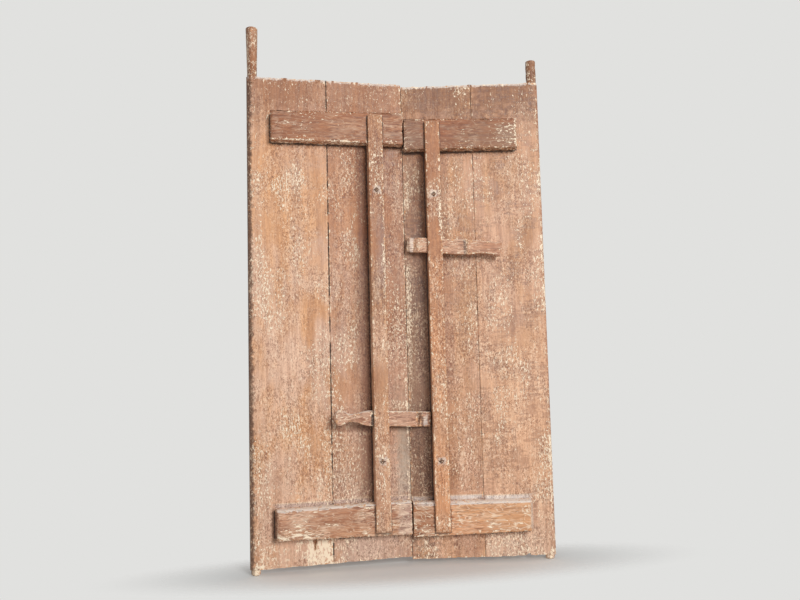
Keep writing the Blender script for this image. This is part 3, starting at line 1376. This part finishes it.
RIGHT_PIVOT_PAINT = Paint(
    "right_pivot_board_paint", TAN, BLUSH, saw=0.55, joint=0.4,
    tints=((COCOA, around(-0.10, 1.70, 0.30, 0.22, 0.9, 0.7)), (DUST, Area(-0.13, 0.08, 0.30, 0.30, 0.5, 0.8)),
           (APRICOT, Area(-0.10, 0.45, 0.30, 0.70, 0.9, 0.8)), (RUST, around(0.022, 0.9, 0.020, 3.0, 0.9)),
           (COCOA, around(0.0, 1.79, 0.06, 0.14, 0.95)), *ledge(FROST, -0.148, 0.2225, 0.165, 0.015, 0.0065, 1.0)),
    chipped=(Area(0.015, 0.9, 0.02, 1.8, 0.7), Area(-0.13, 0.05, 0.30, 0.09, 0.35), Area(-0.10, 0.45, 0.25, 0.5, 0.2),
             FOOT_PIN, around(0.0, 1.79, 0.06, 0.14, 0.8)))
RIGHT_INNER_PAINT = Paint(
    "right_inner_board_paint", TAN, BLUSH, saw=0.4, joint=0.4,
    tints=((COCOA, around(-0.36, 1.70, 0.30, 0.22, 0.9, 0.7)), (MAUVE, Area(-0.45, 0.62, 0.09, 1.1, 0.7)),
           (COCOA, Area(-0.45, 1.32, 0.09, 0.40, 0.6)), *ledge(FROST, -0.36, 0.2265, 0.26, 0.015, 0.0065, 1.0)),
    chipped=(Area(-0.48, 0.9, 0.02, 1.4, 0.8), Area(-0.281, 1.697, 0.06, 0.03, 0.9),
             Area(-0.455, 1.28, 0.06, 0.30, 0.7), Area(-0.36, 0.05, 0.30, 0.09, 0.35)),
    soiled=(Area(-0.409, 0.80, 0.12, 1.30, 0.48, 0.8, 0.8, 0.2), Area(-0.44, 0.40, 0.10, 0.34, 0.25, 0.6, 0.8)))
LEFT_TOP_BATTEN_PAINT = batten_paint(
    "left_top_batten_paint", BRICK, CHESTNUT, **TOP_BATTEN_WEAR,
    chipped=(Area(0.34, 1.50, 0.14, 0.05, 0.35), Area(0.51, 1.50, 0.06, 0.05, 0.6),
             Area(0.20, 1.490, 0.30, 0.012, 1.2)))
LEFT_BOTTOM_BATTEN_PAINT = batten_paint(
    "left_bottom_batten_paint", RUST, ROSE, mottle=1.1, smear=0.4, pale=0.4, rings=0.35, dust=1.0, fleck_level=0.65,
    fleck_stretch=4.5, crevice=0.6,
    tints=((BRICK, Area(0.30, 0.17, 0.70, 0.30, 0.3)), (LILAC, Area(0.51, 0.17, 0.05, 0.16, 0.5)),
           (BRICK, Area(0.30, 0.19, 0.16, 0.05, 0.5, 0.8)), (PINK, Area(0.14, 0.18, 0.10, 0.05, 0.4, 0.8))),
    chipped=(Area(0.12, 0.18, 0.14, 0.05, 0.3), Area(0.20, 0.13, 0.30, 0.02, 0.4)),
    soiled=(Area(0.0648, 0.17, 0.014, 0.13, 0.9, 0.5, 0.8),))
RIGHT_TOP_BATTEN_PAINT = batten_paint(
    "right_top_batten_paint", CHESTNUT, COCOA, **TOP_BATTEN_WEAR, crevice=0.6,
    tints=((ASH, Area(-0.117, 1.523, 0.07, 0.06, 0.2)), (MAUVE, Area(-0.46, 1.53, 0.09, 0.2, 0.5))),
    chipped=(Area(-0.298, 1.544, 0.05, 0.04, 0.6), Area(-0.12, 1.52, 0.10, 0.08, 0.3),
             Area(-0.47, 1.53, 0.05, 0.12, 0.6), Area(-0.078, 1.523, 0.010, 0.12, 1.2)))
RIGHT_BOTTOM_BATTEN_PAINT = batten_paint(
    "right_bottom_batten_paint", ORANGE, SALMON, mottle=0.9, smear=0.3, pale=0.3, rings=0.5, dust=1.0,
    fleck_level=0.67, fleck_stretch=4.0, crevice=0.6,
    tints=((BRICK, Area(-0.46, 0.17, 0.12, 0.3, 0.85)), (DUST, Area(-0.066, 0.165, 0.018, 0.16, 0.6)),
           (FROST, Area(-0.25, 0.216, 0.40, 0.014, 1.0, 0.3, 0.6))))
LEFT_BAR_PAINT = Paint(
    "left_bar_paint", ROSE, TAN, arris_level=0.84, fleck_level=0.65,
    tints=((BRICK, Area(0.43, 1.25, 0.10, 0.70, 0.9, 0.8)), (BLUSH, Area(0.43, 0.25, 0.10, 0.40, 0.5, 0.8)),
           (MAUVE, Area(0.43, 0.97, 0.06, 0.10, 0.35, 0.6)), (LILAC, Area(0.445, 1.10, 0.03, 0.22, 0.35, 0.7)),
           (PINK, Area(0.43, 0.78, 0.06, 0.16, 0.5, 0.8)), (BROWN, Area(0.43, 0.64, 0.06, 0.08, 0.4, 0.8)),
           *nail_dust(0.43, 1.3151, 0.3691)),
    chipped=(Area(0.43, 1.58, 0.06, 0.05, 1.0), Area(0.452, 1.08, 0.014, 0.30, 1.0),
             Area(0.43, 1.24, 0.05, 0.10, 0.5)))
RIGHT_BAR_PAINT = Paint(
    "right_bar_paint", ORANGE, ROSE, arris_level=0.84, fleck_level=0.68,
    tints=((BRICK, Area(-0.383, 1.32, 0.10, 0.60, 0.85, 0.8)), *nail_dust(-0.383, 1.2991, 0.3625)),
    chipped=(Area(-0.38, 1.56, 0.06, 0.05, 1.0), Area(-0.36, 1.10, 0.014, 0.40, 0.9),
             Area(-0.38, 0.14, 0.05, 0.05, 1.0)))
LOWER_BOLT_PAINT = bolt_paint(
    "lower_bolt_paint", HEATHER, 0.92, (UMBER, Area(0.400, 0.5, 0.010, 0.2, 0.95, 0.2, 0.3)),
    (BARK, Area(0.571, 0.5, 0.022, 0.3, 0.8)), (DUST, Area(0.590, 0.5, 0.013, 0.03, 0.9)))
UPPER_BOLT_PAINT = bolt_paint(
    "upper_bolt_paint", BLUSH, 0.88, (UMBER, Area(-0.276, 1.1, 0.010, 0.2, 0.7, 0.3, 0.6)),
    (BARK, Area(-0.480, 1.1, 0.018, 0.5, 0.8)), (DUST, Area(-0.465, 1.1, 0.013, 0.5, 0.7)))


def leaf_frames(frame: dict) -> tuple[LeafFrame, LeafFrame]:
    """Reads the leaves' own axes off the frame's joints.


    Returns:
        The left and the right leaf.
    """
    joints = {joint["name"]: joint for joint in frame["joints"]}
    pivot = Vector(joints["left_leaf_swing"]["pos_m"])
    reach_left, reach_right = (Vector(joints[name]["axis"]) for name in ("lower_bolt_slide", "upper_bolt_slide"))
    left_turn = math.atan2(reach_left.y, reach_left.x)
    right_turn = math.atan2(-reach_right.y, -reach_right.x)
    return (LeafFrame("left", "left_leaf", Matrix.Translation(pivot) @ Matrix.Rotation(left_turn, 4, "Z"), 1),
            LeafFrame("right", "right_leaf", Matrix.Rotation(right_turn, 4, "Z"), -1))


def dress_fasteners(door: Door) -> None:
    """Gives the nails and dowels, whose solids stay, their finishes."""
    iron, wood = Iron().material(), BareWood().material(door.effects)
    for name, node in door.nodes.items():
        if "nail" in name or "dowel" in name:
            node.data.materials.clear()
            node.data.materials.append(iron if "nail" in name else wood)
            LOG.info("%s keeps its solid", name)


def main() -> None:
    """Dresses the frame piece by piece and sets up the studio."""
    logging.basicConfig(level=logging.INFO, format="%(name)s: %(message)s")
    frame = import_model()
    left, right = leaf_frames(frame)
    door = Door(frame["nodes"], Effects())
    leaves = ((left, LEFT_ARRIS, LEFT_PIVOT_PAINT, LEFT_INNER_PAINT, LEFT_TOP_BATTEN_PAINT,
               LEFT_BOTTOM_BATTEN_PAINT, LEFT_BAR_PAINT),
              (right, RIGHT_ARRIS, RIGHT_PIVOT_PAINT, RIGHT_INNER_PAINT, RIGHT_TOP_BATTEN_PAINT,
               RIGHT_BOTTOM_BATTEN_PAINT, RIGHT_BAR_PAINT))
    for leaf, arris, pivot, inner, top, bottom, bar in leaves:
        Board(door, leaf, f"{leaf.name}_pivot_board", pivot, arris=arris).build()
        Board(door, leaf, f"{leaf.name}_inner_board", inner, arris=arris).build()
        Batten(door, leaf, f"{leaf.name}_top_batten", top, end_bevel=0.006).build()
        Batten(door, leaf, f"{leaf.name}_bottom_batten", bottom, top_bevel=0.013).build()
        Bar(door, leaf, f"{leaf.name}_bar", bar).build()
    Bolt(door, left, "lower_bolt", LOWER_BOLT_PAINT).build()
    Bolt(door, right, "upper_bolt", UPPER_BOLT_PAINT).build()
    dress_fasteners(door)
    Studio().build()


if __name__ == "__main__":
    main()
